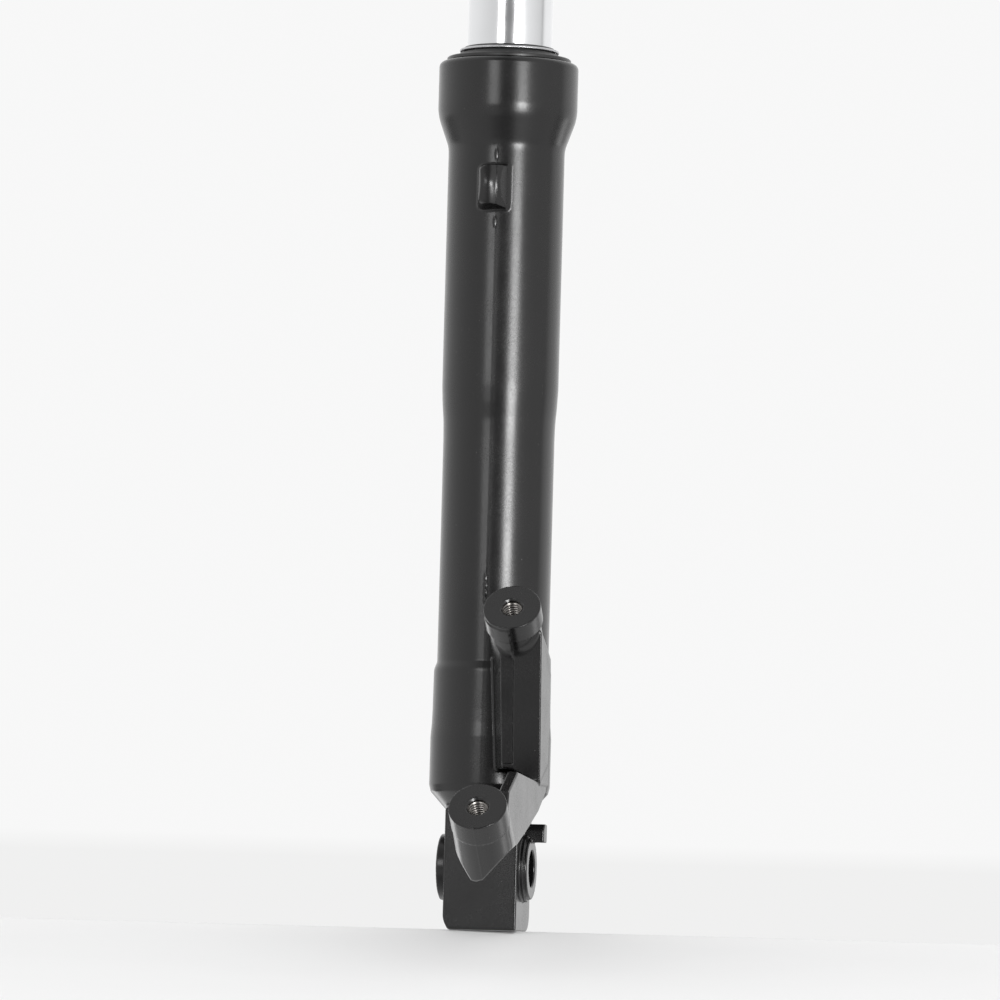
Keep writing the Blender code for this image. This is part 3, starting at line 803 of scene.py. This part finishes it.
def build_lower_leg():
    near = TUBE_RADIUS + 0.3
    in_seat = SEAL_SEAT - 0.3
    stands_for(build_casting(PAINT), "lower_leg", "slider")
    for name, face in (("upper_caliper_thread", UPPER_FACE), ("lower_caliper_thread", LOWER_FACE)):
        stands_for(build_thread(name, face, HOLE_SHADED_ALUMINIUM), "lower_leg", None)
    stands_for(ring("slider_bush", near, 18.4, 296.0, SEAL_LEDGE - 0.3, BRONZE, 0.5),
               "lower_leg", "slider_bushing")
    stands_for(ring("seal_backup_ring", near + 0.2, in_seat, SEAL_LEDGE + 0.3, 316.2, STEEL, 0.3),
               "lower_leg", "backup_ring")
    oil_seal = [
        (in_seat, 327.2), (in_seat, 316.5), (18.6, 316.5), (near, 318.6), (17.6, 321.0),
        (20.2, 322.6), (20.2, 324.2), (17.4, 325.6), (near, 327.2),
    ]
    stands_for(lathe("oil_seal_body", oil_seal, RUBBER, 0.35, 128), "lower_leg", "oil_seal")
    stands_for(garter("oil_seal_garter", 19.0, 0.58, 323.3), "lower_leg", "oil_seal_spring")
    arc = np.radians(np.linspace(15, 345, 121))
    path = np.stack([23.1 * np.cos(arc), 23.1 * np.sin(arc), np.full(len(arc), CLIP_HEIGHT)], 1)
    stands_for(tube_along("seal_snap_clip", path, 0.9, STEEL, 16), "lower_leg", "seal_clip")
    dust_seal = [
        (17.0, 342.9), (17.45, 342.8), (17.8, 342.1), (17.85, 340.7), (18.3, 340.3), (19.35, 340.3),
        (19.5, 339.9), (20.4, 339.1), (23.7, 338.8), (24.1, 338.4), (24.1, SLIDER_TOP + 0.3),
        (in_seat, SLIDER_TOP + 0.3), (in_seat, 331.0), (20.6, 331.0), (20.6, 336.0), (near, 338.5),
        (near, 342.7),
    ]
    stands_for(lathe("dust_wiper", dust_seal, RUBBER, 0.14, 160), "lower_leg", "dust_seal")
    stands_for(garter("dust_wiper_spring", 18.72, 0.6, 341.45), "lower_leg", "dust_seal_spring")
    build_damper()
    build_bottom_bolt()


def garter(name, radius, wire, height):
    """Garter spring: a ring of wire so closely wound that only fine grooves show."""
    turns = int(tau * radius / 0.36)
    around, sides = turns * 5, 16
    turn = np.arange(around) * tau / around
    small = np.arange(sides) * tau / sides
    groove = 0.05 * np.abs(np.sin(turn * turns / 2 + 0.1))
    thick = wire - 0.05 + groove
    reach = radius + thick[:, None] * np.cos(small)
    points = np.stack([reach * np.cos(turn)[:, None], reach * np.sin(turn)[:, None],
                       height + thick[:, None] * np.sin(small)], 2)
    faces = []
    for i in range(around):
        here, there = i * sides, (i + 1) % around * sides
        for k in range(sides):
            m = (k + 1) % sides
            faces.append((here + k, there + k, there + m, here + m))
    piece = add_mesh(name, points.reshape(-1, 3), faces, STEEL)
    tidy_normals(piece, 80)
    return piece


def coil(name, radius, wire, bottom, top, turns, material, steps=40):
    """Compression spring with closed, flat end turns."""
    turn = np.arange(round(turns * steps) + 1) / steps
    flat = 2 * wire + 0.3
    middle = turns - 2
    rise = top - bottom - 2 * wire - 2 * flat
    height = (bottom + wire + flat * np.minimum(turn, 1)
              + rise * np.clip(turn - 1, 0, middle) / middle
              + flat * np.maximum(turn - 1 - middle, 0))
    angle = tau * turn
    path = np.stack([radius * np.cos(angle), radius * np.sin(angle), height], 1)
    return tube_along(name, path, wire, material, 14)


def build_damper():
    floor = SLIDER_FLOOR + 0.3
    head = TUBE_BORE - 0.6
    rod = [
        (head, 240.0), (head, 234.0), (11.7, 234.0), (11.7, 230.0), (head, 230.0), (head, 222.6),
        (7.0, 222.6), (7.0, floor), (4.3, floor), (4.3, 70.0), (5.0, 72.0), (5.0, 240.0),
    ]
    piece = lathe("damper_tube", rod, ALUMINIUM, 0.4, 64)
    for i, height in enumerate((96.0, 108.0)):
        drill = lathe("drill", [(0, 12), (2.0, 12), (2.0, -12), (0, -12)], None, 0, 24)
        drill.data.transform(Matrix.Translation((0, 0, -FOOT)))
        turn = Matrix.Rotation(i * pi / 2, 4, "Z") @ Matrix.Rotation(pi / 2, 4, "Y")
        drill.data.transform(Matrix.Translation((0, 0, height * MM + FOOT)) @ turn)
        boolean(piece, drill, "DIFFERENCE")
    stands_for(piece, "lower_leg", "damper_rod")
    stands_for(ring("piston_seal_ring", 12.0, TUBE_BORE - 0.3, 230.3, 233.7, NYLON, 0.3),
               "lower_leg", "piston_ring")
    stands_for(coil("rebound_spring", 9.8, 1.1, 200.3, 222.3, 5, SPRING_STEEL),
               "lower_leg", "top_out_spring")
    lock = [(10.6, 75.0), (11.5, 62.0), (11.5, floor), (7.3, floor), (7.3, 75.0)]
    stands_for(lathe("oil_lock_cone", lock, ALUMINIUM, 0.4), "lower_leg", "oil_lock_piece")


def build_bottom_bolt():
    """Socket screw up through the foot, with a rolled thread on its end."""
    top = BOLT_SEAT - 1.6
    bottom = top - 8.0
    profile = [(0.0, 62.0), (3.3, 62.0)]
    height = 61.4
    while height > top + 4:
        profile += [(3.95, height), (3.95, height - 0.2), (3.45, height - 0.6), (3.45, height - 0.8)]
        height -= 1.25
    profile += [(4.0, height), (4.0, top), (6.3, top), (6.5, top - 0.3), (6.5, bottom + 0.7),
                (5.9, bottom), (0.0, bottom)]
    bolt = lathe("foot_bolt", profile, STEEL, 0.08, 64)
    boolean(bolt, prism("socket", 6.0, bottom - 1.0, bottom + 4.5), "DIFFERENCE")
    stands_for(bolt, "lower_leg", "bottom_bolt")
    stands_for(ring("foot_bolt_washer", 4.3, 7.6, top + 0.3, BOLT_SEAT - 0.3, COPPER, 0.2),
               "lower_leg", "sealing_washer")


def build_upper_tube():
    tube = [
        (15.9, TUBE_TOP), (TUBE_RADIUS, TUBE_TOP - 0.8), (TUBE_RADIUS, 189.4), (15.6, 189.4),
        (15.6, 173.7), (16.2, 173.7), (15.8, TUBE_BOTTOM), (12.0, TUBE_BOTTOM), (12.0, 187.9),
        (12.8, 187.9), (12.8, 189.8), (12.0, 189.8), (12.0, 196.0), (8.5, 196.0), (8.5, 200.0),
        (TUBE_BORE, 200.0), (TUBE_BORE, TUBE_TOP),
    ]
    stands_for(lathe("chromed_tube", tube, CHROME, 0.3, 192), "upper_tube", "stanchion")
    stands_for(ring("foot_bush", 15.9, 17.7, 174.0, 189.1, BRONZE, 0.5),
               "upper_tube", "stanchion_bushing")
    stands_for(ring("check_valve_snap_ring", 9.5, 12.5, 188.2, 189.5, STEEL, 0.3),
               "upper_tube", "valve_snap_ring")
    cap = [
        (0.0, 693.0), (15.3, 693.0), (16.3, 692.2), (16.3, TUBE_TOP + 0.3), (13.2, TUBE_TOP + 0.3),
        (13.2, 686.0), (11.3, 686.0), (11.3, 683.6), (13.2, 683.6), (13.2, 672.8), (12.4, 672.0),
        (0.0, 672.0),
    ]
    top_cap = lathe("fork_cap", cap, ALUMINIUM, 0.25, 128)
    hexagon = prism("hexagon", 22.0, 688.0, 699.0)
    chamfer = [(0.0, 699.0), (11.2, 699.0), (13.4, 697.7), (13.4, 680.0), (0.0, 680.0)]
    boolean(hexagon, lathe("chamfer", chamfer, None, 0, 96), "INTERSECT")
    boolean(top_cap, hexagon, "UNION")
    stands_for(top_cap, "upper_tube", "top_cap")
    round_section = [(12.4 + 0.8 * cos(a), 684.8 - 0.8 * sin(a)) for a in np.arange(16) * tau / 16]
    stands_for(lathe("fork_cap_oring", round_section, RUBBER, 0, 96), "upper_tube", "top_cap_oring")
    stands_for(ring("preload_tube", 9.0, 12.5, 528.0, 671.7, ALUMINIUM, 0.5),
               "upper_tube", "spacer_tube")


def build_spring_pack():
    low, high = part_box("main_spring")
    bottom, top = (low.z - FOOT) / MM, (high.z - FOOT) / MM
    spring = coil("fork_spring", 10.75, 1.8, bottom, top, 19, SPRING_STEEL)
    stands_for(spring, "spring_pack", "main_spring")
    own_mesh(spring)
    stands_for(ring("spring_seat_washer", 8.6, 12.8, 525.6, 527.6, STEEL, 0.3),
               "spring_pack", "spring_washer")


def build_check_valve():
    valve = [(11.7, 194.7), (11.7, 189.9), (7.5, 189.9), (7.5, 193.2), (8.6, 194.7)]
    stands_for(lathe("check_valve_ring", valve, STEEL, 0.3), "check_valve", "check_valve")


# Stage, light and camera

CAMERA_TURN = 10.0                               # degrees round from straight behind


# Height of the floor along a line through the foot towards the camera, as (distance, height)
FLOOR = [(-1500, 0.0), (-200, 0.0), (-40, 0.0), (11.5, 0.0), (16, -1.0), (20, -1.9), (40, -4.9),
         (80, -10.9), (150, -21.4), (400, -58.0), (1500, -220.0)]


def build_stage():
    """Pale floor: level up to the foot, then falling gently towards the camera."""
    shader = Shader("floor", (0.8, 0.8, 0.8), 0.85)
    tone = shader.mix(shader.noise(60, 3), (0.825, 0.825, 0.825), (0.85, 0.85, 0.85))
    shader.link(tone, shader.surface, "Base Color")
    across, ahead = cos(radians(CAMERA_TURN)), sin(radians(CAMERA_TURN))
    sides = (-1500, -300, -60, 0, 60, 300, 1500)
    points = [(reach * ahead + side * across, side * ahead - reach * across, height)
              for side in sides for reach, height in FLOOR]
    count = len(FLOOR)
    faces = [(i * count + k, (i + 1) * count + k, (i + 1) * count + k + 1, i * count + k + 1)
             for i in range(len(sides) - 1) for k in range(count - 1)]
    floor = add_mesh("floor", points, faces, shader.material)
    floor.data.shade_smooth()
    floor.visible_glossy = False


# Brightness of the room round the leg: degrees to the right of the camera, and level. Surfaces
# seen from above mirror a belt below eye level, which has two bright panels behind the leg.
ROOM = [(-180, 1.15), (-100, 1.05), (-36, 0.84), (-24, 0.40), (-13, 0.33), (0, 0.26), (13, 0.36),
        (16, 1.10), (34, 1.15), (90, 0.85), (97, 0.70), (99, 0.40), (103, 0.95), (112, 1.15),
        (180, 1.12)]
ROOM_BELOW = [(-180, 0.45), (-164, 0.60), (-160, 2.60), (-149, 2.60), (-145, 0.50), (-125, 0.32),
              (-100, 0.95), (-36, 0.95), (-18, 0.90), (-8, 0.45), (0, 0.26), (11, 0.50), (17, 1.50),
              (32, 1.40), (42, 0.90), (90, 0.90), (104, 0.32), (113, 0.50), (117, 2.40), (127, 2.40),
              (131, 0.55), (180, 0.45)]
ROOM_PEAK = 2.6


BELT = (-0.31, 0.13, 0.22)                       # its middle, as a sine, and the reach of its fade
HORIZON = (sin(radians(1.15)), sin(radians(1.30)))
FLOOR_TONE = (0.872, 0.872, 0.870)
WALL_TONE = (0.935, 0.935, 0.935)


def remap(tree, value, low, high):
    """The value as a share of the way from low to high."""
    node = tree.nodes.new("ShaderNodeMapRange")
    node.inputs["From Min"].default_value = low
    node.inputs["From Max"].default_value = high
    tree.links.new(value, node.inputs["Value"])
    return node.outputs["Result"]


def calculate(tree, operation, first, second=None):
    node = tree.nodes.new("ShaderNodeMath")
    node.operation = operation
    tree.links.new(first, node.inputs[0])
    if second is not None:
        tree.links.new(second, node.inputs[1])
    return node


def look(tree):
    """Of the direction looked in: the share of a turn round the leg, and the height."""
    direction = tree.nodes.new("ShaderNodeTexCoord").outputs["Generated"]
    turned = tree.nodes.new("ShaderNodeVectorRotate")
    turned.rotation_type = "Z_AXIS"
    turned.inputs["Angle"].default_value = radians(90 - CAMERA_TURN)
    tree.links.new(direction, turned.inputs["Vector"])
    split = tree.nodes.new("ShaderNodeSeparateXYZ")
    tree.links.new(turned.outputs["Vector"], split.inputs["Vector"])
    angle = calculate(tree, "ARCTAN2", split.outputs["Y"], split.outputs["X"])
    return remap(tree, angle.outputs["Value"], -pi, pi), split.outputs["Z"]


def room_levels(tree, share, levels):
    """Colour ramp over the turn round the leg, as shares of the brightest level."""
    room = tree.nodes.new("ShaderNodeValToRGB")
    stops = room.color_ramp.elements
    while len(stops) < len(levels):
        stops.new(0.5)
    for stop, (turn, level) in zip(stops, levels):
        stop.position = (turn + 180) / 360
        stop.color = (level / ROOM_PEAK, level / ROOM_PEAK, level / ROOM_PEAK, 1)
    tree.links.new(share, room.inputs["Fac"])
    return room.outputs["Color"]


def build_world():
    """A white room with a dim gap at the camera, and a pale wall and floor where it is seen."""
    world = bpy.data.worlds.new("studio")
    bpy.context.scene.world = world
    world.use_nodes = True
    tree = world.node_tree
    turn, height = look(tree)
    middle, inner, outer = BELT
    gap = calculate(tree, "ADD", height)
    gap.inputs[1].default_value = -middle
    reach = calculate(tree, "ABSOLUTE", gap.outputs["Value"])
    room = tree.nodes.new("ShaderNodeMix")
    room.data_type = "RGBA"
    tree.links.new(remap(tree, reach.outputs["Value"], inner, outer), room.inputs["Factor"])
    tree.links.new(room_levels(tree, turn, ROOM_BELOW), room.inputs[6])
    tree.links.new(room_levels(tree, turn, ROOM), room.inputs[7])
    light = tree.nodes["Background"]
    light.inputs["Strength"].default_value = ROOM_PEAK
    tree.links.new(room.outputs[2], light.inputs["Color"])
    tone = tree.nodes.new("ShaderNodeMix")
    tone.data_type = "RGBA"
    tone.inputs[6].default_value = (*FLOOR_TONE, 1)
    tone.inputs[7].default_value = (*WALL_TONE, 1)
    tree.links.new(remap(tree, height, *HORIZON), tone.inputs["Factor"])
    seen = tree.nodes.new("ShaderNodeBackground")
    tree.links.new(tone.outputs[2], seen.inputs["Color"])
    path = tree.nodes.new("ShaderNodeLightPath")
    mix = tree.nodes.new("ShaderNodeMixShader")
    tree.links.new(path.outputs["Is Camera Ray"], mix.inputs["Fac"])
    tree.links.new(light.outputs["Background"], mix.inputs[1])
    tree.links.new(seen.outputs["Background"], mix.inputs[2])
    tree.links.new(mix.outputs["Shader"], tree.nodes["World Output"].inputs["Surface"])
    bpy.context.scene.view_settings.view_transform = "Standard"


CENTRE = Vector((0, 0, FOOT + 0.1668))


def add_softbox(name, turn, rise, distance, width, height, power):
    """Rectangular light seen from the leg at an angle from the camera and a height angle."""
    light = bpy.data.lights.new(name, "AREA")
    light.shape = "RECTANGLE"
    light.size = width
    light.size_y = height
    light.energy = power
    lamp = bpy.data.objects.new(name, light)
    bpy.context.scene.collection.objects.link(lamp)
    angle, rise = radians(CAMERA_TURN + turn), radians(rise)
    away = Vector((sin(angle) * cos(rise), -cos(angle) * cos(rise), sin(rise)))
    lamp.location = CENTRE + away * distance
    lamp.rotation_euler = away.to_track_quat("Z", "Y").to_euler()
    lamp.visible_camera = False


def build_lights():
    add_softbox("key", 23.2, 0.3, 2.2, 0.58, 0.62, 26)
    add_softbox("fill", -23.8, 10.0, 2.2, 0.58, 0.65, 5.2)


def build_camera():
    turn, rise, roll = radians(CAMERA_TURN), radians(-3.8), radians(1.56)
    back = Vector((sin(turn) * cos(rise), -cos(turn) * cos(rise), sin(rise)))
    right = Vector((0, 0, 1)).cross(back).normalized()
    up = back.cross(right)
    across = right * cos(roll) + up * sin(roll)
    upright = up * cos(roll) - right * sin(roll)
    data = bpy.data.cameras.new("camera")
    data.sensor_width = 36
    data.lens = 280.8
    data.shift_x = 0.00275
    data.clip_end = 30
    camera = bpy.data.objects.new("camera", data)
    bpy.context.scene.collection.objects.link(camera)
    pose = Matrix((across, upright, back)).transposed().to_4x4()
    pose.translation = CENTRE + back * 3.023
    camera.matrix_world = pose
    bpy.context.scene.camera = camera


build_camera()
build_lower_leg()
build_upper_tube()
build_spring_pack()
build_check_valve()
build_stage()
build_world()
build_lights()

bpy.context.view_layer.update()
